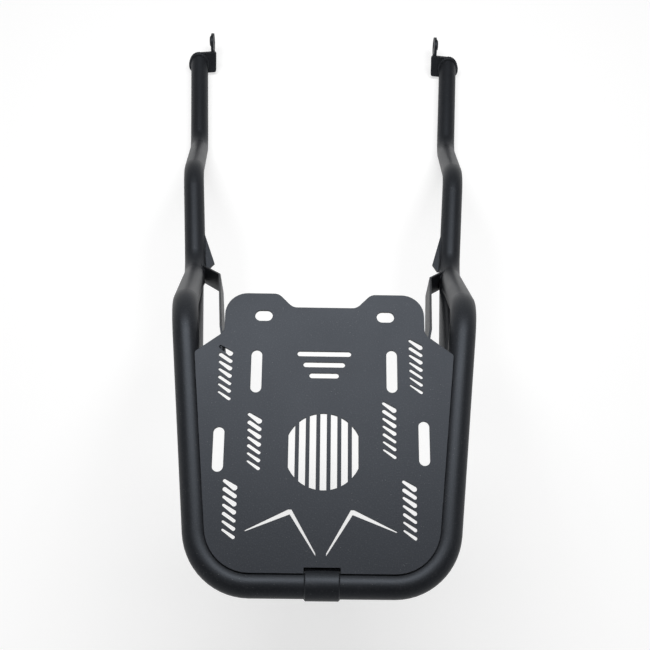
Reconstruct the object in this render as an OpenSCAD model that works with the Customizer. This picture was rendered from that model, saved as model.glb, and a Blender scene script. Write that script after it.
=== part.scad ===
// Rear luggage rack for a motorcycle: a bent tube frame round a slotted steel plate.
// Millimetres. X points right, Y forwards and Z up.
// Inside the modules the rear tube's axis, at the middle, is the zero point. The finished
// pieces are moved so that the origin is midway between the two front bolt slots, on the
// plate's top face.

/* [Tube] */
// Outer diameter of the main tube
tube_d = 22.2; // [18:0.1:28]
// Wall of the main tube and of the struts
tube_wall = 2; // [1:0.1:3]
// Radius of the two rear corners, at the tube's axis
corner_r = 43; // [36:1:60]
// Radius of the four bends in each arm, at the tube's axis
bend_r = 40; // [30:1:50]
// Gap between the two tube ends inside the sleeve
tube_gap = 0.4; // [0.1:0.1:4]

/* [Loop] */
// Half the distance between the side tubes' axes, taken at the rear tube
loop_half_w = 94.5; // [85:0.5:110]
// Angle by which each side leans outwards towards the front
side_angle = 5.9; // [2:0.1:9]
// Length of the loop from the rear tube to the top of the first step
loop_l = 225.5; // [210:0.5:260]

/* [Arms] */
// Forward run of the first, steep step
step1_run = 110; // [90:1:140]
// Drop of the first step
step1_drop = 206.5; // [160:0.5:230]
// Half the distance between the arms at the foot of the first step
mid_rear_half_w = 137.3; // [130:0.1:145]
// Run of the middle level
mid_run = 122; // [100:1:150]
// Half the distance between the arms at the top of the second step
mid_front_half_w = 145.7; // [138:0.1:152]
// Forward run of the second step
step2_run = 106; // [90:1:130]
// Drop of the second step
step2_drop = 137; // [100:1:160]
// Half the distance between the arms at the foot of the second step
low_rear_half_w = 159.2; // [150:0.1:165]
// Run of the front level, up to the bracket
low_run = 126.5; // [90:0.5:160]
// Half the distance between the arms at their front ends
low_front_half_w = 165.6; // [155:0.1:172]

/* [Rear sleeve] */
// Length of the sleeve over the joint
sleeve_l = 27.6; // [20:0.1:40]
// Wall of the sleeve
sleeve_wall = 1.5; // [1:0.1:3]
// Clearance between the sleeve and the tubes
sleeve_gap = 0.1; // [0.05:0.05:0.3]
// Chamfer at the sleeve's ends
sleeve_chamfer = 1.1; // [0.2:0.1:1.3]

/* [Plate] */
// Thickness of the plate
plate_t = 2.5; // [2:0.1:5]
// How far the plate's edge lies inside the tube's axis
plate_inset = 7.2; // [5:0.1:9]
// Clearance between the plate's lower edge and the tube it rests on
plate_gap = 0.05; // [0.02:0.01:0.3]
// Distance from the rear tube to the two side corners of the plate
shoulder_y = 182; // [160:1:190]
// Half width across the two front lobes
lobe_half_w = 82.4; // [76:0.1:88]
// Distance from the rear tube to the foot of each lobe's outer side
lobe_root_y = 199.5; // [195:0.1:204]
// Radius at the foot of each lobe's outer side
lobe_root_r = 8; // [3:0.5:10]
// Distance from the rear tube to the front of the lobes
lobe_front_y = 233.3; // [226:0.1:245]
// Distance from the rear tube to the front edge between the lobes
plate_front_y = 221.4; // [216:0.1:225]
// Half width of the gap between the lobes, at the front edge
lobe_gap_half_w = 26.5; // [20:0.5:34]
// Radius of the lobes' outer corners
lobe_r = 18.5; // [8:0.5:22]
// Radius of the corners at the gap between the lobes
lobe_gap_r = 9; // [4:0.5:11]
// Clearance between the notch's front edge and the sleeve
notch_gap = 2.2; // [0.1:0.1:3]
// Clearance between the notch's sides and each end of the sleeve
notch_side_gap = 0.3; // [0.1:0.1:2]

/* [Bolt and strap slots] */
// Distance of the front bolt slots from the centre line
bolt_slot_x = 50.3; // [46:0.1:54]
// Distance of the front bolt slots from the rear tube
bolt_slot_y = 213.8; // [208:0.1:218]
// Length of a bolt slot
bolt_slot_l = 14.5; // [10:0.5:18]
// Width of a bolt slot
bolt_slot_w = 9.2; // [6:0.1:10]
// Length of a strap slot
strap_slot_l = 35.8; // [24:0.1:40]
// Width of a strap slot
strap_slot_w = 8.9; // [6:0.1:11]
// Distance of the front strap slots from the centre line
strap_front_x = 55.1; // [50:0.1:60]
// Distance of the left front strap slot from the rear tube
strap_front_left_y = 166.2; // [160:0.1:172]
// Distance of the right front strap slot from the rear tube
strap_front_right_y = 167.4; // [160:0.1:172]
// Distance of the left rear strap slot from the centre line
strap_left_x = 83.2; // [78:0.1:85]
// Distance of the left rear strap slot from the rear tube
strap_left_y = 101.8; // [98:0.1:106]
// Distance of the right rear strap slot from the centre line
strap_right_x = 80.2; // [77:0.1:84]
// Distance of the right rear strap slot from the rear tube
strap_right_y = 108.4; // [104:0.1:113]

/* [Slanted slots] */
// Number of slanted slots in a group
slant_n = 7; // [3:1:7]
// Distance between the slots of a group
slant_pitch = 6.3; // [5.5:0.05:6.5]
// Length of the first slot of a group
slant_l_first = 13.3; // [8:0.1:15]
// Length of the last slot of a group
slant_l_last = 12.4; // [8:0.1:15]
// Angle of the slanted slots below the horizontal
slant_angle = 34; // [20:1:45]
// Width of the first slot of a group, at its wide end
slant_w_first = 4.5; // [3:0.1:5]
// Width of the last slot of a group, at its wide end
slant_w_last = 2.8; // [1.6:0.1:3]
// Width of a slot at its narrow end, as a part of its wide end
slant_taper = 0.6; // [0.4:0.05:1]
// Distance of the front left group from the centre line
front_left_x = 80.4; // [77:0.1:83]
// Distance of the front left group's first slot from the rear tube
front_left_y = 183.4; // [178:0.1:188]
// Distance of the front right group from the centre line
front_right_x = 74.8; // [73:0.1:80]
// Distance of the front right group's first slot from the rear tube
front_right_y = 190.7; // [184:0.1:194]
// Distance of the middle left group from the centre line
middle_left_x = 55.1; // [50:0.1:58]
// Distance of the middle left group's first slot from the rear tube
middle_left_y = 127.4; // [122:0.1:136]
// Distance of the middle right group from the centre line
middle_right_x = 52.6; // [50:0.1:58]
// Distance of the middle right group's first slot from the rear tube
middle_right_y = 137.6; // [130:0.1:141]
// Distance of the rear left group from the centre line
rear_left_x = 72.7; // [68:0.1:76]
// Distance of the rear left group's first slot from the rear tube
rear_left_y = 74.1; // [66:0.1:78]
// Distance of the rear right group from the centre line
rear_right_x = 67.8; // [66:0.1:74]
// Distance of the rear right group's first slot from the rear tube
rear_right_y = 74.7; // [66:0.1:80]

/* [Round grille and vents] */
// Distance of the round grille's centre from the rear tube
grille_y = 101; // [98:0.5:104]
// Radius of the round grille
grille_r = 30.7; // [20:0.1:32]
// Number of bars cut out of the grille
grille_n = 7; // [3:2:7]
// Width of each cut in the grille
grille_cut = 5.2; // [3:0.1:6.5]
// Distance between the cuts of the grille
grille_pitch = 8.4; // [8:0.1:8.7]
// Distance of the middle vent from the rear tube
vent_y = 172.2; // [168:0.1:176]
// Number of vents in front of the grille
vent_n = 3; // [1:1:3]
// Length of the longest vent, the front one
vent_l = 44; // [30:1:50]
// How much shorter each further vent is
vent_step = 10; // [0:1:12]
// Width of a vent
vent_w = 4.4; // [3:0.1:5]
// Distance between the vents
vent_pitch = 9.2; // [8:0.1:10]

/* [Chevrons] */
// How far the chevrons' middle lies to the left of the centre line
chevron_shift = 1.2; // [0:0.1:3]
// Distance from their middle to the inner end of a chevron's blunt point
chevron_x = 23.1; // [20:0.1:26]
// Width of the blunt point
chevron_blunt = 2.6; // [0.5:0.1:6]
// Distance of a chevron's point from the rear tube
chevron_y = 55.4; // [50:0.1:58]
// Distance of the point's inner corner behind the point
chevron_w = 3.9; // [2:0.1:6]
// Distance from their middle to the outer tip
chevron_outer_x = 58.7; // [50:0.1:59]
// Distance of the outer tip from the rear tube
chevron_outer_y = 38.2; // [36:0.1:44]
// Distance from their middle to the inner tip
chevron_inner_x = 4.2; // [3:0.1:10]
// Distance of the inner tip from the rear tube
chevron_inner_y = 20.3; // [19:0.1:30]
// Width of the cut at the chevron's tips
chevron_tip_w = 1; // [0.4:0.1:1.5]

/* [Struts] */
// Outer diameter of the strut under each arm
strut_d = 19; // [14:0.1:20]
// Distance from the loop's front corner back to the strut's upper end
strut_head_back = 95.5; // [80:0.5:115]
// How far the left strut's upper end lies inside the side tube's axis
strut_head_left_inset = 0.5; // [0:0.1:5]
// How far the right strut's upper end lies inside the side tube's axis
strut_head_right_inset = 5; // [0:0.1:5]
// How far the left strut's lower end lies inside the arm's axis
strut_foot_left_inset = -0.5; // [-2:0.1:2]
// How far the right strut's lower end lies inside the arm's axis
strut_foot_right_inset = 0.8; // [-2:0.1:2]
// Distance from the first step's foot to the strut's lower end
strut_foot_run = 4.5; // [2:0.5:8]
// How far the strut's hidden lower end stops short of the arm's axis
strut_foot_trim = 5; // [0:0.5:6]
// Clearance at the welded joints between a piece and the tube it is cut to fit
weld_gap = 0.1; // [0.05:0.05:0.3]

/* [Stays] */
// Width of the flat bar of each stay
stay_w = 20; // [14:0.5:24]
// Thickness of the flat bar
stay_t = 2; // [2:0.1:4]
// Slope of the stay
stay_slope = 55; // [52:0.5:57]
// Angle of the fold near its lower end
stay_fold = 18.5; // [12:0.5:24]
// Inner radius of that fold
stay_fold_r = 3; // [2:0.5:8]
// Distance from the rear tube to the middle of the stay's upper end
stay_head_y = 193; // [190:0.5:198]
// Distance of the left stay's upper end from the middle line
stay_head_left_x = 83.7; // [82:0.1:88]
// Distance of the right stay's upper end from the middle line
stay_head_right_x = 85.7; // [82:0.1:88]
// Angle by which the left stay leans outwards towards the front
stay_left_angle = 10.2; // [9:0.1:12]
// Angle by which the right stay leans outwards towards the front
stay_right_angle = 11.3; // [9:0.1:12]
// Depth of the fold below the plate
stay_depth = 160.5; // [155:0.5:163]
// Length of the folded leg, up to inside the tube
stay_leg = 56; // [50:0.5:58]

/* [Gussets] */
// Length of the gusset along the arm
gusset_l = 42; // [30:1:50]
// How far the left gusset stands out from the tube
gusset_left_w = 9.2; // [4:0.1:12]
// How far the right gusset stands out from the tube
gusset_right_w = 7; // [4:0.1:12]
// Thickness of the gusset
gusset_t = 4; // [3:0.1:6]
// Length of the gusset's blunt end
gusset_end = 8; // [4:0.5:12]
// Width of the gusset at its end
gusset_blunt = 2; // [1:0.1:6]
// Distance from the first step's foot to the left gusset's blunt end
gusset_left_run = 3.5; // [2:0.5:12]
// Distance from the first step's foot to the right gusset's blunt end
gusset_right_run = 6; // [2:0.5:12]

/* [Front brackets] */
// Height of the bracket's base plate
base_h = 32; // [29:0.5:38]
// Width of the base plate, along its upper edge
base_w = 37.3; // [33:0.1:42]
// How much narrower the base plate is along its lower edge
base_taper = 1.8; // [0:0.1:4]
// How much lower the base plate is at its outer end and along its inner edge
base_drop = 3.5; // [0.5:0.5:4.5]
// Thickness of the base plate
base_t = 4; // [3:0.1:6]
// How far the base plate reaches outwards past the tube's axis
base_out = 14.4; // [12:0.1:18]
// Radius of the base plate's outer upper corner
base_round_top = 17; // [12:0.5:17.5]
// Radius of the base plate's outer lower corner
base_round_low = 10; // [6:0.5:10.5]
// Radius of the base plate's inner corners
base_corner_r = 3; // [1:0.5:8]
// Angle by which the base plate leans forwards
base_lean = 30; // [20:1:40]
// Thickness of the ear
ear_t = 3.4; // [3:0.1:6]
// Height of the boss round the ear's hole, on its outer side
ear_boss_h = 2; // [0.5:0.1:4]
// Radius of the boss where it meets the ear
ear_boss_r = 8; // [7:0.1:9]
// Radius of the ear's round end
ear_r = 10; // [8:0.5:12]
// Diameter of the bolt hole in the ear
ear_hole_d = 9; // [6:0.1:11]
// Distance of the ear's hole in front of the base plate's rear face
ear_reach = 17; // [15:0.5:24]
// Height of the ear's hole above the tube's axis, along the base plate
ear_rise = 23.5; // [22:0.5:28]
// Distance of the ear's middle from the base plate's inner edge
ear_inset = 5.4; // [3:0.1:8]

/* [Hidden] */
$fn = 64;
ARC_STEPS = 10; // straight pieces in each rounded corner of a flat outline
LAP = 0.5; // how far each straight run of a bent tube reaches into the bends beside it
LAP_STEP = 0.02; // how much thicker its wall is there on each side, so that the two join cleanly
tube_r = tube_d / 2;
loop_top_half_w = loop_half_w + loop_l * tan(side_angle);
step1_foot_y = loop_l + step1_run;
step2_top_y = step1_foot_y + mid_run;
step2_foot_y = step2_top_y + step2_run;
front_y = step2_foot_y + low_run;
mid_z = -step1_drop;
low_z = -step1_drop - step2_drop;
plate_z = sqrt(pow(tube_r, 2) - pow(plate_inset, 2)) + plate_gap;
plate_top = plate_z + plate_t;
sleeve_r = tube_r + sleeve_gap + sleeve_wall;
notch_y = sleeve_r * cos(asin(plate_z / sleeve_r)) + notch_gap;
SLIM = 0.002;
CUT = 400; // size of the blocks that trim a piece to a plane

// Corners of the right half's axis, from the middle of the rear tube to the front
arm_path = [
    [tube_gap / 2, 0, 0],
    [loop_half_w, 0, 0],
    [loop_top_half_w, loop_l, 0],
    [mid_rear_half_w, step1_foot_y, mid_z],
    [mid_front_half_w, step2_top_y, mid_z],
    [low_rear_half_w, step2_foot_y, low_z],
    [low_front_half_w, front_y, low_z]
];
arm_bends = [corner_r, bend_r, bend_r, bend_r, bend_r];

function unit(v) = v / norm(v);
function turn(a, b, c) = acos(unit(b - a) * unit(c - b));
function side_vector(d) = unit(cross(abs(d.z) < 0.9 ? [0, 0, 1] : [1, 0, 0], d));

// X of the side tube's axis, offset inwards, at a distance from the rear tube
function side_x(y, inset = 0) = loop_half_w + y * tan(side_angle) - inset / cos(side_angle);

// A flat outline with rounded corners: each corner is [x, y, radius]
function corner_arc(a, b, c) =
    let (p = [b.x, b.y], u = unit([a.x, a.y] - p), v = unit([c.x, c.y] - p))
    let (half = acos(u * v) / 2, centre = p + unit(u + v) * b.z / sin(half))
    let (from = p + u * b.z / tan(half) - centre, to = p + v * b.z / tan(half) - centre)
    let (sweep = 180 - 2 * half, sign = cross(from, to) > 0 ? 1 : -1)
    [for (i = [0:ARC_STEPS]) let (t = sign * sweep * i / ARC_STEPS)
        centre + [from.x * cos(t) - from.y * sin(t), from.x * sin(t) + from.y * cos(t)]];

function rounded(corners) = let (n = len(corners)) [
    for (i = [0:n - 1]) let (b = corners[i])
        each b.z > 0 ? corner_arc(corners[(i + n - 1) % n], b, corners[(i + 1) % n]) : [[b.x, b.y]]
];

// Puts local X, Y and Z along three given directions at a given point
module axes_at(p, x, y, z)
    multmatrix([[x.x, y.x, z.x, p.x], [x.y, y.y, z.y, p.y], [x.z, y.z, z.z, p.z], [0, 0, 0, 1]])
        children();

// A straight round bar from a to b, or a tube if it has a bore
module rod(a, b, r, bore = 0) {
    d = unit(b - a);
    s = side_vector(d);
    axes_at(a, s, cross(d, s), d) linear_extrude(norm(b - a)) ring(r, bore);
}

// One bend: the corner at b is rounded with radius bend
module bend_rod(a, b, c, bend, r, bore = 0) {
    d = unit(b - a);
    axis = unit(cross(d, unit(c - b)));
    inward = cross(axis, d);
    start = b - d * bend * tan(turn(a, b, c) / 2);
    axes_at(start + inward * bend, -inward, d, axis)
        rotate_extrude(angle = turn(a, b, c)) translate([bend, 0]) ring(r, bore);
}

module ring(r, bore) difference() {
    circle(r = r);
    if (bore > 0) circle(r = bore);
}

// A bar or tube along a path, with a bend at each inner corner
module path_rod(path, bends, r, bore = 0) {
    $fn = 36;
    last = len(path) - 1;
    reach = [for (i = [0:last])
        i == 0 || i == last ? 0 : bends[i - 1] * tan(turn(path[i - 1], path[i], path[i + 1]) / 2)];
    for (i = [0:last - 1]) {
        d = unit(path[i + 1] - path[i]);
        from = i == 0 ? 0 : reach[i] - LAP;
        to = i == last - 1 ? 0 : reach[i + 1] - LAP;
        rod(path[i] + d * from, path[i + 1] - d * to, r + LAP_STEP, bore > 0 ? bore - LAP_STEP : 0);
    }
    for (i = [1:last - 1])
        bend_rod(path[i - 1], path[i], path[i + 1], bends[i - 1], r, bore);
}

module mirrored(left) mirror([left ? 1 : 0, 0, 0]) children();

// Moves the finished pieces to the rack's origin
module placed() translate([0, -bolt_slot_y, -plate_top]) children();

// The straight sides of a slot are a hair narrower than its round ends, so that they meet cleanly
module slot(l, w) {
    square([l - w, w - SLIM], center = true);
    for (s = [-1, 1]) translate([s * (l - w) / 2, 0]) circle(d = w);
}

// A slot whose right end has width w1 and whose left end has width w2
module tapered_slot(l, w1, w2) {
    x1 = (l - w1) / 2;
    x2 = -(l - w2) / 2;
    lean = asin((w1 - w2) / 2 / (x1 - x2));
    polygon([for (e = [[x1, w1, 1], [x2, w2, 1], [x2, w2, -1], [x1, w1, -1]])
        [e.x + (e.y - SLIM) / 2 * sin(lean), e.z * (e.y - SLIM) / 2 * cos(lean)]]);
    translate([x1, 0]) circle(d = w1);
    translate([x2, 0]) circle(d = w2);
}

// The right front bracket's own frame: Y leads forwards out of the tube's end
module front_frame()
    translate([low_front_half_w, front_y, low_z]) rotate([-base_lean, 0, 0]) children();

// Lays a flat outline upright across the rack, its rear face at Y = 0
module upright(t) translate([0, t, 0]) rotate([90, 0, 0]) linear_extrude(t) children();

// Lays a flat outline upright along the rack, with its own X forwards and its Y up
module lengthwise(x, t) translate([x - t / 2, 0, 0]) rotate([90, 0, 90]) linear_extrude(t) children();

// The path runs on past the arm's front end, where the bracket's plane trims the tube
module main_tube(left) {
    last = len(arm_path) - 1;
    overrun = tube_d * unit(arm_path[last] - arm_path[last - 1]);
    long_path = [for (i = [0:last]) i < last ? arm_path[i] : arm_path[i] + overrun];
    color([0.14, 0.14, 0.15]) placed() mirrored(left) difference() {
        path_rod(long_path, arm_bends, tube_r, tube_r - tube_wall);
        front_frame() translate([-CUT / 2, -weld_gap, -CUT / 2]) cube(CUT);
    }
}

module rear_sleeve() color([0.13, 0.13, 0.14]) placed() rotate([0, 90, 0])
    rotate_extrude() polygon([
        [tube_r + sleeve_gap, -sleeve_l / 2],
        [sleeve_r - sleeve_chamfer, -sleeve_l / 2],
        [sleeve_r, -sleeve_l / 2 + sleeve_chamfer],
        [sleeve_r, sleeve_l / 2 - sleeve_chamfer],
        [sleeve_r - sleeve_chamfer, sleeve_l / 2],
        [tube_r + sleeve_gap, sleeve_l / 2]
    ]);

// Right half of the plate's outline, from the front centre round to the rear centre
module plate_outline() {
    slope_x = lobe_front_y - plate_front_y;
    notch_half_w = sleeve_l / 2 + notch_side_gap;
    half = [
        [lobe_gap_half_w, plate_front_y, lobe_gap_r],
        [lobe_gap_half_w + slope_x, lobe_front_y, lobe_gap_r],
        [lobe_half_w, lobe_front_y, lobe_r],
        [lobe_half_w, lobe_root_y, lobe_root_r],
        [side_x(shoulder_y, plate_inset), shoulder_y, 3.5],
        [side_x(plate_inset, plate_inset), plate_inset, corner_r - plate_inset],
        [notch_half_w, plate_inset, 0],
        [notch_half_w, notch_y, 0]
    ];
    other = [for (i = [len(half) - 1:-1:0]) [-half[i].x, half[i].y, half[i].z]];
    polygon(rounded(concat(half, other)));
}

// The second slot and every third after it keep one width, and the others narrow towards the left
module slanted_group(x, y)
    for (i = [0:slant_n - 1]) {
        part = i / (slant_n - 1);
        w = slant_w_first + (slant_w_last - slant_w_first) * part;
        even = i % 3 == 1;
        translate([x, y - i * slant_pitch]) rotate(-slant_angle) tapered_slot(
            slant_l_first + (slant_l_last - slant_l_first) * part,
            even ? w * (1 + slant_taper) / 2 : w,
            even ? w * (1 + slant_taper) / 2 - SLIM : slant_taper * w
        );
    }

module chevron() polygon([
    [chevron_x, chevron_y],
    [chevron_x + chevron_blunt, chevron_y],
    [chevron_outer_x, chevron_outer_y + chevron_tip_w],
    [chevron_outer_x, chevron_outer_y],
    [chevron_x + chevron_blunt / 2, chevron_y - chevron_w],
    [chevron_inner_x, chevron_inner_y],
    [chevron_inner_x, chevron_inner_y + 2 * chevron_tip_w]
]);

module round_grille() translate([0, grille_y]) intersection() {
    circle(r = grille_r);
    for (i = [0:grille_n - 1])
        translate([(i - (grille_n - 1) / 2) * grille_pitch, 0])
            square([grille_cut, 2 * grille_r], center = true);
}

module vents()
    for (i = [0:vent_n - 1])
        translate([0, vent_y + ((vent_n - 1) / 2 - i) * vent_pitch]) slot(vent_l - i * vent_step, vent_w);

module plate() color([0.26, 0.27, 0.29]) placed() translate([0, 0, plate_z])
    linear_extrude(plate_t) difference() {
        plate_outline();
        for (s = [-1, 1]) {
            translate([s * bolt_slot_x, bolt_slot_y]) slot(bolt_slot_l, bolt_slot_w);
            translate([s * strap_front_x, s < 0 ? strap_front_left_y : strap_front_right_y])
                rotate(90) slot(strap_slot_l, strap_slot_w);
        }
        translate([-strap_left_x, strap_left_y]) rotate(90) slot(strap_slot_l, strap_slot_w);
        translate([strap_right_x, strap_right_y]) rotate(90) slot(strap_slot_l, strap_slot_w);
        slanted_group(-front_left_x, front_left_y);
        slanted_group(front_right_x, front_right_y);
        slanted_group(-middle_left_x, middle_left_y);
        slanted_group(middle_right_x, middle_right_y);
        slanted_group(-rear_left_x, rear_left_y);
        slanted_group(rear_right_x, rear_right_y);
        round_grille();
        vents();
        for (left = [false, true]) translate([-chevron_shift, 0]) mirror([left ? 1 : 0, 0]) chevron();
    }

// The round brace from the foot of the first step up to the side of the loop
module strut_rod(left, r) {
    mid_run_d = unit(arm_path[4] - arm_path[3]);
    foot_inset = left ? strut_foot_left_inset : strut_foot_right_inset;
    foot = arm_path[3] + strut_foot_run * mid_run_d - [foot_inset, 0, 0];
    head_inset = left ? strut_head_left_inset : strut_head_right_inset;
    head_y = loop_l - strut_head_back;
    head = [side_x(head_y, head_inset), head_y, 0];
    start = foot + strut_foot_trim * unit(head - foot);
    rod(start, head, r);
}

module strut(left) {
    color([0.12, 0.12, 0.13]) placed() mirrored(left) difference() {
        strut_rod(left, strut_d / 2);
        strut_rod(left, strut_d / 2 - tube_wall);
        path_rod(arm_path, arm_bends, tube_r + weld_gap);
    }
}

// The folded flat bar from the first step up to the underside of the plate
module stay(left) {
    head_x = left ? stay_head_left_x : stay_head_right_x;
    angle = left ? stay_left_angle : stay_right_angle;
    head_z = plate_z - weld_gap;
    color([0.15, 0.15, 0.16]) placed() mirrored(left) difference() {
        translate([head_x, stay_head_y, head_z]) rotate([0, 0, -angle])
            rotate([-stay_slope, 0, 0]) linear_extrude(stay_w, center = true) folded_strip();
        translate([-CUT / 2, 0, head_z]) cube(CUT);
        path_rod(arm_path, arm_bends, tube_r + weld_gap);
        strut_rod(left, strut_d / 2 + weld_gap);
    }
}

// The stay seen edge on: Y runs down the bar, and the fold turns it towards +X
module folded_strip() {
    long = stay_depth / sin(stay_slope);
    spare = stay_w;
    half_t = stay_t / 2;
    along = [sin(stay_fold), cos(stay_fold)];
    across = [cos(stay_fold), -sin(stay_fold)];
    tip = [0, long] + stay_leg * along;
    mitre = half_t * tan(stay_fold / 2);
    polygon(rounded([
        [-half_t, -spare, 0],
        [-half_t, long + mitre, stay_fold_r + stay_t],
        [tip.x - half_t * across.x, tip.y - half_t * across.y, 0],
        [tip.x + half_t * across.x, tip.y + half_t * across.y, 0],
        [half_t, long - mitre, stay_fold_r],
        [half_t, -spare, 0]
    ]));
}

// The small flat wedge on the inner side of the arm, just past the first step
module gusset(left) {
    run = left ? gusset_left_run : gusset_right_run;
    back = arm_path[3] + run * unit(arm_path[4] - arm_path[3]);
    front = back + gusset_l * unit(arm_path[4] - arm_path[3]);
    out = tube_r + (left ? gusset_left_w : gusset_right_w);
    color([0.1, 0.1, 0.11]) placed() mirrored(left) difference() {
        translate([0, 0, mid_z - gusset_t / 2]) linear_extrude(gusset_t) polygon([
            [back.x, back.y],
            [back.x - tube_r - gusset_blunt, back.y],
            [back.x - out, back.y + gusset_end],
            [front.x - tube_r, front.y],
            [front.x, front.y]
        ]);
        path_rod(arm_path, arm_bends, tube_r + weld_gap);
    }
}

// A leaning base plate across the tube's end, with an upright ear for the bolt
module front_bracket(left) {
    inner = base_out - base_w;
    ear_x = inner + ear_inset;
    half_h = base_h / 2;
    color([0.13, 0.13, 0.14]) placed() mirrored(left) front_frame() difference() {
        union() {
            upright(base_t) polygon(rounded([
                [base_out, -half_h, base_round_low],
                [base_out, half_h - base_drop, base_round_top],
                [inner, half_h, base_corner_r],
                [inner + base_taper, base_drop - half_h, base_corner_r]
            ]));
            lengthwise(ear_x, ear_t) polygon(rounded([
                [base_t / 2, half_h - 1.6 * ear_r, 0],
                [ear_reach + ear_r, ear_rise - ear_r, ear_r - 0.5],
                [ear_reach + ear_r, ear_rise + ear_r, ear_r - 0.5],
                [ear_reach - ear_r, ear_rise + ear_r, ear_r - 0.5],
                [base_t / 2, half_h, 0]
            ]));
            translate([0, 0, half_h - ear_r]) linear_extrude(ear_r - base_corner_r / 3) polygon([
                [inner + base_corner_r / 2, base_t / 2],
                [inner + base_corner_r / 2, base_t],
                [ear_x - ear_t / 2, 2.5 * base_t],
                [ear_x + ear_t / 2, 2.5 * base_t],
                [ear_x + ear_t / 2, base_t / 2]
            ]);
            translate([ear_x, ear_reach, ear_rise]) rotate([0, 90, 0])
                cylinder(h = ear_t / 2 + ear_boss_h, r1 = ear_boss_r + ear_t / 2, r2 = ear_boss_r - ear_boss_h);
        }
        translate([ear_x - ear_t, ear_reach, ear_rise]) rotate([0, 90, 0])
            cylinder(h = 2 * ear_t + ear_boss_h, d = ear_hole_d);
    }
}

main_tube(true);  // left_tube
main_tube(false);  // right_tube
rear_sleeve();
plate();
strut(true);  // left_strut
strut(false);  // right_strut
stay(true);  // left_stay
stay(false);  // right_stay
gusset(true);  // left_gusset
gusset(false);  // right_gusset
front_bracket(true);  // left_front_bracket
front_bracket(false);  // right_front_bracket
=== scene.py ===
"""Looks of the motorcycle luggage rack: powder coat, weld beads, soft light and the photo's camera.

Everything is in metres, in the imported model's frame: +X right, +Y forwards, +Z up, with the
origin on the plate's top face, midway between the two front bolt slots. Only the weld beads'
places and sizes are in millimetres.
"""

import math

import bpy
from mathutils import Matrix, Vector
from mathutils.bvhtree import BVHTree


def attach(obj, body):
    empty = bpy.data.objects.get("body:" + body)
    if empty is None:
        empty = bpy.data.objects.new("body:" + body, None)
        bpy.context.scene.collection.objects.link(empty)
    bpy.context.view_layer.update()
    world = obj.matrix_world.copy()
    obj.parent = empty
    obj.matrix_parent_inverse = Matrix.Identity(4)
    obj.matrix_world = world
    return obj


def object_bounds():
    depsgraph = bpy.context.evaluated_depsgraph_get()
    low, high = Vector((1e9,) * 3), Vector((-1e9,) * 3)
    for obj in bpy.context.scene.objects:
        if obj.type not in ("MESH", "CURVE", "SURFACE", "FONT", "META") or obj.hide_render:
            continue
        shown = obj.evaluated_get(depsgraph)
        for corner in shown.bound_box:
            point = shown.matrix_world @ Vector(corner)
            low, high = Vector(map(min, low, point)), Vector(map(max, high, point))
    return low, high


MM = 0.001

# The camera, fitted to the photo: the angles are in degrees, the focal length in pixels of the frame.
FRAME_PX = 650
SENSOR_MM = 36
CAMERA_AT = Vector((-0.0103, -0.2563, 0.7479))
CAMERA_PITCH = 18.40
CAMERA_YAW = -0.81
CAMERA_ROLL = 0.59
CAMERA_FOCAL_PX = 955
CAMERA_CLIP = (0.01, 50)

# The stage: a pale floor, a pale wall round it, one large softbox overhead and a dim room.
FLOOR_HALF = 4.0
FLOOR_GAP = 2 * MM
WALL_RADIUS = 3.9
WALL_HEIGHT = 1.8
WALL_SIDES = 96
STAGE_COLOUR = 0.44
STAGE_GLOW = 0.66
ROOM_LEVEL = 0.03
KEY_AT = (0, 0.42, 1.2)
KEY_AIM = (0, 0, 0)
KEY_SIZE = (1.3, 0.45)
KEY_POWER = 23.5

# The powder coat's patterns: how many to a metre.
GRAIN_SCALE = 850
PEEL_SCALE = 260
CLOUD_SCALE = 14
DUST_SCALE = 420
DUST_PATCH_SCALE = 60

# Where each pattern starts to show and where it is full, as values of its noise.
CLOUD_RANGE = (0.3, 0.7)
GRAIN_RANGE = (0.5, 0.72)
DUST_PATCH_RANGE = (0.52, 0.6)
EDGE_RANGE = (0.01, 0.2)
EDGE_PATCH_RANGE = (0.42, 0.62)
PEEL_HEIGHT = 0.06 * MM
GRAIN_HEIGHT = 0.12 * MM

# How dark and light the coat's clouds are, and how far grain, rubbed edges and dust lighten it.
CLOUD_DARK = 0.88
CLOUD_LIGHT = 1.1
GRAIN_MIX = 0.55
EDGE_MIX = 0.45
DUST_MIX = 0.55
DUST_SIZE = 0.09
DUST_GREY = 0.2

# The coat's gloss: a weak, slightly bluish reflection, a little uneven, stronger on rubbed edges.
GLOSS_LEVEL = 0.3
GLOSS_TINT = (0.8, 0.88, 1, 1)
GLOSS_SPREAD = 0.12
EDGE_POLISH = 0.08
WORN_BLUE = 1.1

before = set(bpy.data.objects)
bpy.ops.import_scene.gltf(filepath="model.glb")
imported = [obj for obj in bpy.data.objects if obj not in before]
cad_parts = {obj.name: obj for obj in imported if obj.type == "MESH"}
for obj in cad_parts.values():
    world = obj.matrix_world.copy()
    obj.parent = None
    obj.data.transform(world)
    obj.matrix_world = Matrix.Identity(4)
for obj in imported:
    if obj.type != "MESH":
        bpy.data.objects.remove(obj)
cad_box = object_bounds()


# Materials


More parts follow.
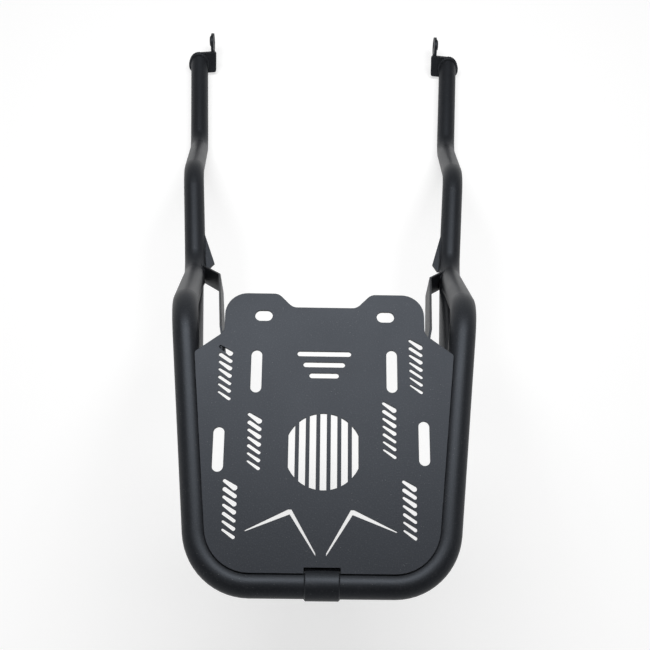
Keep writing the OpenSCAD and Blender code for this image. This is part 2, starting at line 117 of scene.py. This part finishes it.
class Nodes:
    """A short way to build a node tree: add() makes a node, sets its values and links its inputs.

    An input is named as Blender names it, with _ for a blank, or is i and its number.
    """

    def __init__(self, tree):
        self.tree = tree
        self.tree.nodes.clear()

    def feed(self, socket, value):
        if isinstance(value, bpy.types.NodeSocket):
            self.tree.links.new(value, socket)
        else:
            socket.default_value = value

    def add(self, kind, settings=None, **inputs):
        node = self.tree.nodes.new(kind)
        for key, value in (settings or {}).items():
            setattr(node, key, value)
        for key, value in inputs.items():
            numbered = key[0] == "i" and key[1:].isdigit()
            self.feed(node.inputs[int(key[1:]) if numbered else key.replace("_", " ")], value)
        return node

    def math(self, operation, *values):
        inputs = {f"i{i}": v for i, v in enumerate(values)}
        return self.add("ShaderNodeMath", {"operation": operation}, **inputs).outputs[0]

    def ramp(self, value, low, high):
        """0 below low, 1 above high, smooth between."""
        settings = {"interpolation_type": "SMOOTHSTEP"}
        return self.add("ShaderNodeMapRange", settings, i0=value, i1=low, i2=high).outputs[0]

    def mix(self, factor, a, b):
        """Colour a where the factor is 0, colour b where it is 1."""
        return self.add("ShaderNodeMix", {"data_type": "RGBA"}, i0=factor, i6=a, i7=b).outputs[2]


def grey(value, blue=1.0):
    return (value, value, value * blue, 1)


def scaled(colour, share):
    return tuple(share * c for c in colour[:3]) + (1,)


def powder_coat(name, colour, worn, roughness, edge_mm=0.5, gloss_level=GLOSS_LEVEL):
    """Fine textured powder coat: a sandy grain, a slight orange peel, dust and lighter, rubbed edges."""
    material = bpy.data.materials.new(name)
    material.use_nodes = True
    n = Nodes(material.node_tree)
    place = n.add("ShaderNodeTexCoord").outputs["Object"]

    grain = n.add("ShaderNodeTexNoise", Vector=place, Scale=GRAIN_SCALE, Detail=3, Roughness=0.7).outputs[0]
    peel = n.add("ShaderNodeTexNoise", Vector=place, Scale=PEEL_SCALE, Detail=2).outputs[0]
    cloud = n.add("ShaderNodeTexNoise", Vector=place, Scale=CLOUD_SCALE, Detail=4, Roughness=0.6).outputs[0]
    dust = n.add("ShaderNodeTexVoronoi", Vector=place, Scale=DUST_SCALE).outputs["Distance"]
    dust_patch = n.add("ShaderNodeTexNoise", Vector=place, Scale=DUST_PATCH_SCALE, Detail=2).outputs[0]
    specks = n.math("MULTIPLY", n.math("LESS_THAN", dust, DUST_SIZE), n.ramp(dust_patch, *DUST_PATCH_RANGE))

    flat = n.add("ShaderNodeNewGeometry").outputs["Normal"]
    round_edge = n.add("ShaderNodeBevel", {"samples": 6}, Radius=edge_mm * MM).outputs[0]
    dot = n.add("ShaderNodeVectorMath", {"operation": "DOT_PRODUCT"}, i0=flat, i1=round_edge)
    bent = n.math("SUBTRACT", 1, dot.outputs["Value"])
    edge = n.math("MULTIPLY", n.ramp(bent, *EDGE_RANGE), n.ramp(cloud, *EDGE_PATCH_RANGE))

    tone = n.mix(n.ramp(cloud, *CLOUD_RANGE), scaled(colour, CLOUD_DARK), scaled(colour, CLOUD_LIGHT))
    tone = n.mix(n.math("MULTIPLY", n.ramp(grain, *GRAIN_RANGE), GRAIN_MIX), tone, worn)
    tone = n.mix(n.math("MULTIPLY", edge, EDGE_MIX), tone, worn)
    tone = n.mix(n.math("MULTIPLY", specks, DUST_MIX), tone, grey(DUST_GREY))

    uneven = n.math("MULTIPLY", n.math("SUBTRACT", cloud, 0.5), GLOSS_SPREAD)
    gloss = n.math("ADD", uneven, roughness)
    gloss = n.math("SUBTRACT", gloss, n.math("MULTIPLY", edge, EDGE_POLISH))
    settings = {"Strength": 0.35, "Distance": PEEL_HEIGHT, "Height": peel, "Normal": round_edge}
    bump = n.add("ShaderNodeBump", **settings).outputs[0]
    settings = {"Strength": 0.6, "Distance": GRAIN_HEIGHT, "Height": grain, "Normal": bump}
    bump = n.add("ShaderNodeBump", **settings).outputs[0]

    shader = n.add("ShaderNodeBsdfPrincipled", Base_Color=tone, Roughness=gloss, Normal=bump)
    shader.inputs["Specular IOR Level"].default_value = gloss_level
    shader.inputs["Specular Tint"].default_value = GLOSS_TINT
    n.add("ShaderNodeOutputMaterial", Surface=shader.outputs[0])
    return material


def coat_of(node):
    """The material of a CAD node: sheet, flat bar or tube."""
    if node == "plate":
        return PLATE_COAT
    if any(word in node for word in ("stay", "gusset", "bracket")):
        return FLAT_COAT
    return TUBE_COAT


def dress(node):
    """Gives a CAD node's object its material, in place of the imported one."""
    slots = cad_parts[node].data.materials
    for i in range(len(slots)):
        slots[i] = coat_of(node)
    if not slots:
        slots.append(coat_of(node))


TUBE_COAT = powder_coat(
    "tube_coat", colour=(0.011, 0.012, 0.014, 1), worn=grey(0.035, WORN_BLUE), roughness=0.47)
PLATE_COAT = powder_coat(
    "sheet_coat", colour=(0.013, 0.014, 0.017, 1), worn=grey(0.04, WORN_BLUE), roughness=0.47, edge_mm=0.3)
WELD_COAT = powder_coat(
    "weld_coat", colour=(0.012, 0.013, 0.015, 1), worn=grey(0.04, WORN_BLUE), roughness=0.5, edge_mm=0.3)
# The seam's coat is near black and barely glossy: painted shade for the shadow gap between the plate's notch
# and the sleeve.
SEAM_PAINTED_SHADE_COAT = powder_coat(
    "seam_painted_shade_coat", colour=(0.003, 0.003, 0.004, 1), worn=grey(0.01, WORN_BLUE), roughness=0.6, gloss_level=0.1)
FLAT_COAT = powder_coat(
    "bar_coat", colour=(0.012, 0.013, 0.015, 1), worn=grey(0.04, WORN_BLUE), roughness=0.5, edge_mm=0.4)

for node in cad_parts:
    dress(node)


# Weld beads. The places repeat part.scad's values, in millimetres from the rear tube's middle.
# Each is given for the right half, and what differs on the two sides is keyed by left: True or False.

ORIGIN = Vector((0, 213.8, 10.998))
UP = Vector((0, 0, 1))
TUBE_R = 11.1
LOOP_HALF_W = 94.5
SIDE_ANGLE = math.radians(5.9)
SIDE_LEAN = math.tan(SIDE_ANGLE)
MID_REAR = Vector((137.3, 335.5, -206.5))
MID_FRONT = Vector((145.7, 457.5, -206.5))
LOW_REAR = Vector((159.2, 563.5, -343.5))
LOW_FRONT = Vector((165.6, 690, -343.5))

STRUT_R = 9.5
STRUT_HEAD_Y = 130
STRUT_HEAD_INSET = {True: 0.5, False: 5}
STRUT_FOOT_INSET = {True: -0.5, False: 0.8}
STRUT_FOOT_RUN = 4.5

STAY_HEAD = {True: Vector((83.7, 193, 8.4)), False: Vector((85.7, 193, 8.4))}
STAY_ANGLE = {True: 10.2, False: 11.3}
STAY_SLOPE = math.radians(55)
STAY_FOLD = math.radians(18.5)
STAY_DEPTH = 160.5
STAY_HALF_T = 1
STAY_HALF_W = 10

GUSSET_RUN = {True: 3.5, False: 6}
GUSSET_WELD_L = 39
GUSSET_HALF_T = 2

PLATE_BELOW = 8.5
NOTCH_Y = 11.5

# The beads' half widths. The bracket's bead is thicker where it faces up.
BRACKET_BEAD_R = 2.2
BRACKET_BEAD_SWELL = 0.35
STRUT_BEAD_R = 1.7
STAY_BEAD_R = 1.2
GUSSET_BEAD_R = 1.1
STITCH_R = 1.5
SEAM_R = 2.7

# Rays along a piece find where it meets what it is welded to: where they start and how far they reach.
BRACKET_RAY_START = 40
BRACKET_RAY = 90
STRUT_RAY = 160
STAY_RAY_START = 12
STAY_RAY = 80

# The stitches at the stay's head, on its outer (1) and inner (-1) side: where each starts and
# ends along the bar, from the head's middle, and its half width. They stand off the bar by a share
# of that half width.
HEAD_STITCHES = (
    ("_outer", 1, -11, {True: 3, False: -1}, 2.3),
    ("_inner", -1, 0, {True: 4, False: 4}, 1.3),
)
HEAD_STITCH_LIFT = 0.3
HEAD_STITCH_DEPTH = 0.5

# The stitches under the plate: along the loop's sides from each Y, and along the rear tube from one X.
SIDE_STITCH_YS = (60, 112, 158)
REAR_STITCH_X = 34
STITCH_L = 16
STITCH_DEPTH = 0.4
SIDE_STITCH_OUT = Vector((-0.8, 0.1, -0.6))
REAR_STITCH_OUT = Vector((0, 0.8, -0.6))

# The seam between the plate's notch and the sleeve: its half length, how far it lies behind the
# notch and under the plate.
SEAM_HALF_L = 15.3
SEAM_BACK = 0.6
SEAM_DEPTH = 1.9

# A bead's form: sides of its section, length of a ring, ripples, slower swings, and tapered ends.
RING_N = 10
RING_STEP = 0.55
RIPPLE_L = 2.3
RIPPLE_DEPTH = 0.09
RIPPLE_DRIFT = 0.7
DRIFT_L = 5.1
SWING_L = 4.3
SWING_DEPTH = 0.1
SWING_START = 1.3
BEAD_FLATNESS = 0.85
END_TAPER = 2.5
END_BLUNT = 0.05
SHORTEST_RUN = 4


def side_name(left):
    return "left" if left else "right"


def placed(point, left):
    """A point of the right half, in millimetres, moved to its side and to the row frame."""
    p = point - ORIGIN
    return Vector((-p.x if left else p.x, p.y, p.z)) * MM


def turned(direction, left):
    """A direction of the right half, turned to its side."""
    return Vector((-direction.x if left else direction.x, direction.y, direction.z))


def surface(node):
    """A CAD node's faces, for rays to hit."""
    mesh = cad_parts[node].data
    return BVHTree.FromPolygons([v.co for v in mesh.vertices], [p.vertices for p in mesh.polygons])


def meet(tree, starts, direction, reach, left):
    """Where lines that run along a piece's faces reach the piece it is welded to: (point, bead's way out)."""
    found = []
    way = turned(direction, left).normalized()
    for start, out in starts:
        hit, normal, _, _ = tree.ray_cast(placed(start, left), way, reach * MM)
        if hit is None:
            found.append(None)
            continue
        if normal.dot(way) > 0:
            normal = -normal
        found.append((hit, (normal + turned(out, left)).normalized()))
    return found


def runs(found):
    """Splits a ring of points at its misses: (points, closed) of each run."""
    if all(found):
        return [(found, True)]
    first = found.index(None)
    out, run = [], []
    for f in found[first:] + found[:first] + [None]:
        if f:
            run.append(f)
            continue
        if len(run) >= SHORTEST_RUN:
            out.append((run, False))
        run = []
    return out


def resampled(points, closed):
    """Evenly spaced (point, way out, distance) along a line of (point, way out)."""
    loop = points + points[:1] if closed else points
    lengths = [0.0]
    for (a, _), (b, _) in zip(loop, loop[1:]):
        lengths.append(lengths[-1] + (b - a).length)
    count = max(6, int(lengths[-1] / (RING_STEP * MM)))
    out, k = [], 0
    for i in range(count if closed else count + 1):
        s = lengths[-1] * i / count
        while k < len(loop) - 2 and lengths[k + 1] < s:
            k += 1
        t = (s - lengths[k]) / max(lengths[k + 1] - lengths[k], 1e-9)
        (a, u), (b, v) = loop[k], loop[k + 1]
        out.append((a.lerp(b, t), u.lerp(v, t).normalized(), s))
    return out


def bead_size(s, total, closed, radius, swell, out):
    """The bead's half width at a distance along it: rippled, uneven, and tapered at free ends."""
    wave = math.sin(2 * math.pi * s / (RIPPLE_L * MM) + RIPPLE_DRIFT * math.sin(s / (DRIFT_L * MM)))
    swing = math.sin(s / (SWING_L * MM) + SWING_START)
    size = radius * (1 + RIPPLE_DEPTH * wave + SWING_DEPTH * swing + swell * max(0, out.z) ** 2) * MM
    if not closed:
        size *= math.sqrt(min(1, (min(s, total - s) + END_BLUNT * MM) / (END_TAPER * MM)))
    return size


def bead_mesh(points, closed, radius, swell, verts, faces):
    """Adds a bead along a line, as rings of a tube."""
    line = resampled(points, closed)
    n = len(line)
    base = len(verts)
    for i, (p, out, s) in enumerate(line):
        before = line[i - 1][0] if i or closed else p
        after = line[(i + 1) % n][0] if i < n - 1 or closed else p
        along = (after - before).normalized()
        across = along.cross(out).normalized()
        lift = across.cross(along)
        size = bead_size(s, line[-1][2], closed, radius, swell, out)
        for j in range(RING_N):
            a = 2 * math.pi * j / RING_N
            verts.append(p + across * (size * math.cos(a)) + lift * (BEAD_FLATNESS * size * math.sin(a)))
    for i in range(n if closed else n - 1):
        a, b = base + i * RING_N, base + (i + 1) % n * RING_N
        for j in range(RING_N):
            k = (j + 1) % RING_N
            faces.append((a + j, a + k, b + k, b + j))
    if not closed:
        faces.append(tuple(base + j for j in reversed(range(RING_N))))
        faces.append(tuple(base + (n - 1) * RING_N + j for j in range(RING_N)))


def bead(name, lines, radius, swell=0, coat=WELD_COAT):
    """One object of beads along lines of (points, closed)."""
    verts, faces = [], []
    for points, closed in lines:
        bead_mesh(points, closed, radius, swell, verts, faces)
    mesh = bpy.data.meshes.new(name)
    mesh.from_pydata(verts, [], faces)
    mesh.polygons.foreach_set("use_smooth", [True] * len(mesh.polygons))
    mesh.materials.append(coat)
    weld = bpy.data.objects.new(name, mesh)
    bpy.context.scene.collection.objects.link(weld)
    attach(weld, "root")


def straight(first, last, out, left):
    """The line of a straight bead: its two ends, with one way out."""
    return [(placed(end, left), turned(out, left)) for end in (first, last)], False


def ring_round(centre, axis, radius, count=64):
    """Points on a round bar's surface, each with its way out."""
    side = axis.cross(UP if abs(axis.z) < 0.9 else Vector((1, 0, 0))).normalized()
    other = axis.cross(side)
    angles = [2 * math.pi * i / count for i in range(count)]
    outs = [side * math.cos(a) + other * math.sin(a) for a in angles]
    return [(centre + out * radius, out) for out in outs]


def bracket_weld(left, name):
    """A ring where the tube's front end meets its bracket."""
    axis = (LOW_FRONT - LOW_REAR).normalized()
    starts = ring_round(LOW_FRONT - BRACKET_RAY_START * axis, axis, TUBE_R)
    found = meet(surface(side_name(left) + "_front_bracket"), starts, axis, BRACKET_RAY, left)
    bead(name, runs(found), BRACKET_BEAD_R, swell=BRACKET_BEAD_SWELL)


def strut_welds(left, name):
    """Rings where the strut's two ends meet the tube."""
    mid_run = (MID_FRONT - MID_REAR).normalized()
    foot = MID_REAR + STRUT_FOOT_RUN * mid_run - Vector((STRUT_FOOT_INSET[left], 0, 0))
    head_x = LOOP_HALF_W + STRUT_HEAD_Y * SIDE_LEAN - STRUT_HEAD_INSET[left] / math.cos(SIDE_ANGLE)
    head = Vector((head_x, STRUT_HEAD_Y, 0))
    axis = (head - foot).normalized()
    tree = surface(side_name(left) + "_tube")
    lines = []
    for way in (axis, -axis):
        lines += runs(meet(tree, ring_round((head + foot) / 2, way, STRUT_R), way, STRUT_RAY, left))
    bead(name, lines, STRUT_BEAD_R)


def bar_outline(centre, thin, wide):
    """Points round the stay's section, each with its way out."""
    outline = []
    faces = (
        (thin, wide, STAY_HALF_T, STAY_HALF_W),
        (wide, -thin, STAY_HALF_W, STAY_HALF_T),
        (-thin, -wide, STAY_HALF_T, STAY_HALF_W),
        (-wide, thin, STAY_HALF_W, STAY_HALF_T),
    )
    for out, edge, half, span in faces:
        steps = max(3, span * 2)
        for i in range(steps):
            outline.append((centre + out * half + edge * span * (2 * i / steps - 1), out))
    return outline


def stay_welds(left, name):
    """A ring where the stay's leg meets the tube, and stitches where its head meets the plate."""
    aside = Matrix.Rotation(math.radians(-STAY_ANGLE[left]), 3, "Z")
    turn = aside @ Matrix.Rotation(-STAY_SLOPE, 3, "X")
    corner = STAY_HEAD[left] + turn @ Vector((0, STAY_DEPTH / math.sin(STAY_SLOPE), 0))
    along = turn @ Vector((math.sin(STAY_FOLD), math.cos(STAY_FOLD), 0))
    wide = turn @ UP
    outline = bar_outline(corner + STAY_RAY_START * along, along.cross(wide).normalized(), wide)
    found = meet(surface(side_name(left) + "_tube"), outline, along, STAY_RAY, left)
    bead(name, runs(found), STAY_BEAD_R)

    forward = (turn @ Vector((0, 1, 0))).to_2d().normalized().to_3d()
    outward = Vector((forward.y, -forward.x, 0))
    for end, sign, start, stop, radius in HEAD_STITCHES:
        way = sign * outward
        at = STAY_HEAD[left] + way * (STAY_HALF_T + HEAD_STITCH_LIFT * radius)
        at.z = PLATE_BELOW - HEAD_STITCH_DEPTH
        out = (way - UP).normalized()
        line = straight(at + start * forward, at + stop[left] * forward, out, left)
        bead(name + end, [line], radius)


def gusset_weld(left, name):
    """Beads along the gusset's two faces, where it stands on the tube's inner side."""
    axis = (MID_FRONT - MID_REAR).normalized()
    inward = Vector((-axis.y, axis.x, 0))
    reach = math.sqrt(TUBE_R ** 2 - GUSSET_HALF_T ** 2)
    lines = []
    for s in (-1, 1):
        first = MID_REAR + axis * GUSSET_RUN[left] + inward * reach + UP * s * GUSSET_HALF_T
        last = first + axis * GUSSET_WELD_L
        lines.append(straight(first, last, (inward + s * UP).normalized(), left))
    bead(name, lines, GUSSET_BEAD_R)


def plate_stitches():
    """Short stitches under the plate's edge, where it rests in the loop."""
    lines = []
    touch = math.sqrt(TUBE_R ** 2 - PLATE_BELOW ** 2)
    z = PLATE_BELOW - STITCH_DEPTH
    for left in (False, True):
        for y in SIDE_STITCH_YS:
            first = Vector((LOOP_HALF_W + y * SIDE_LEAN - touch / math.cos(SIDE_ANGLE), y, z))
            last = first + Vector((STITCH_L * SIDE_LEAN, STITCH_L, 0))
            lines.append(straight(first, last, SIDE_STITCH_OUT, left))
        first = Vector((REAR_STITCH_X, touch, z))
        last = first + Vector((STITCH_L, 0, 0))
        lines.append(straight(first, last, REAR_STITCH_OUT, left))
    bead("plate_stitches", lines, STITCH_R)


def painted_shade_notch_seam():
    """A weld bead under the gap between the plate's notch and the sleeve, coloured near black: painted shade
    for the shadow in that gap.
    """
    first = Vector((-SEAM_HALF_L, NOTCH_Y - SEAM_BACK, PLATE_BELOW - SEAM_DEPTH))
    last = first + Vector((2 * SEAM_HALF_L, 0, 0))
    line = straight(first, last, REAR_STITCH_OUT, False)
    bead("painted_shade_notch_seam", [line], SEAM_R, coat=SEAM_PAINTED_SHADE_COAT)


for left in (True, False):
    side = side_name(left)
    bracket_weld(left, side + "_bracket_weld")
    strut_welds(left, side + "_strut_weld")
    stay_welds(left, side + "_stay_weld")
    gusset_weld(left, side + "_gusset_weld")
plate_stitches()
painted_shade_notch_seam()


# Floor, light and camera


def stage_paper():
    """Pale paper for the floor and the wall: lit by the lamp, and white to the eye and in reflections."""
    material = bpy.data.materials.new("stage_paper")
    material.use_nodes = True
    n = Nodes(material.node_tree)
    path = n.add("ShaderNodeLightPath").outputs
    mirrored = n.math("MAXIMUM", path["Is Glossy Ray"], path["Is Transmission Ray"])
    seen = n.math("MAXIMUM", path["Is Camera Ray"], mirrored)
    paper = n.add("ShaderNodeBsdfDiffuse", Color=grey(STAGE_COLOUR)).outputs[0]
    strength = n.math("MULTIPLY", seen, STAGE_GLOW)
    glow = n.add("ShaderNodeEmission", Color=grey(1), Strength=strength).outputs[0]
    both = n.add("ShaderNodeAddShader", i0=paper, i1=glow).outputs[0]
    n.add("ShaderNodeOutputMaterial", Surface=both)
    return material


def stage_piece(name, verts, faces, material):
    mesh = bpy.data.meshes.new(name)
    mesh.from_pydata(verts, [], faces)
    mesh.materials.append(material)
    piece = bpy.data.objects.new(name, mesh)
    bpy.context.scene.collection.objects.link(piece)


def make_stage():
    """A square floor just under the rack and a round wall on it."""
    paper = stage_paper()
    z = cad_box[0].z - FLOOR_GAP
    corners = [(x * FLOOR_HALF, y * FLOOR_HALF, z) for x, y in ((-1, -1), (1, -1), (1, 1), (-1, 1))]
    stage_piece("floor", corners, [(0, 1, 2, 3)], paper)
    sides = range(WALL_SIDES)
    angles = [2 * math.pi * i / WALL_SIDES for i in sides]
    ring = [(math.cos(a) * WALL_RADIUS, math.sin(a) * WALL_RADIUS) for a in angles]
    verts = [(x, y, z + h) for h in (0, WALL_HEIGHT) for x, y in ring]
    after = [(i + 1) % WALL_SIDES for i in sides]
    faces = [(i, after[i], WALL_SIDES + after[i], WALL_SIDES + i) for i in sides]
    stage_piece("backdrop", verts, faces, paper)


def make_world():
    world = bpy.data.worlds.new("studio")
    bpy.context.scene.world = world
    world.use_nodes = True
    n = Nodes(world.node_tree)
    sky = n.add("ShaderNodeBackground", Color=grey(1), Strength=ROOM_LEVEL).outputs[0]
    n.add("ShaderNodeOutputWorld", Surface=sky)


def softbox(name, at, aim, size, power):
    lamp = bpy.data.lights.new(name, "AREA")
    lamp.shape = "RECTANGLE"
    lamp.size, lamp.size_y = size
    lamp.energy = power
    lamp_object = bpy.data.objects.new(name, lamp)
    lamp_object.location = at
    lamp_object.rotation_euler = (Vector(aim) - Vector(at)).to_track_quat("-Z", "Y").to_euler()
    bpy.context.scene.collection.objects.link(lamp_object)


def make_camera():
    pitch, yaw, roll = (math.radians(a) for a in (CAMERA_PITCH, CAMERA_YAW, CAMERA_ROLL))
    turn = Matrix.Rotation(yaw, 3, "Y")
    view = turn @ Vector((0, math.sin(pitch), -math.cos(pitch)))
    level_up = turn @ Vector((0, math.cos(pitch), math.sin(pitch)))
    level_right = turn @ Vector((1, 0, 0))
    right = math.cos(roll) * level_right + math.sin(roll) * level_up
    up = math.cos(roll) * level_up - math.sin(roll) * level_right
    data = bpy.data.cameras.new("camera")
    data.sensor_width = SENSOR_MM
    data.lens = SENSOR_MM * CAMERA_FOCAL_PX / FRAME_PX
    data.clip_start, data.clip_end = CAMERA_CLIP
    camera = bpy.data.objects.new("camera", data)
    camera.matrix_world = Matrix.Translation(CAMERA_AT) @ Matrix((right, up, -view)).transposed().to_4x4()
    bpy.context.scene.collection.objects.link(camera)
    bpy.context.scene.camera = camera


make_stage()
make_world()
softbox("key", KEY_AT, KEY_AIM, KEY_SIZE, KEY_POWER)
make_camera()
bpy.context.scene.view_settings.view_transform = "Standard"
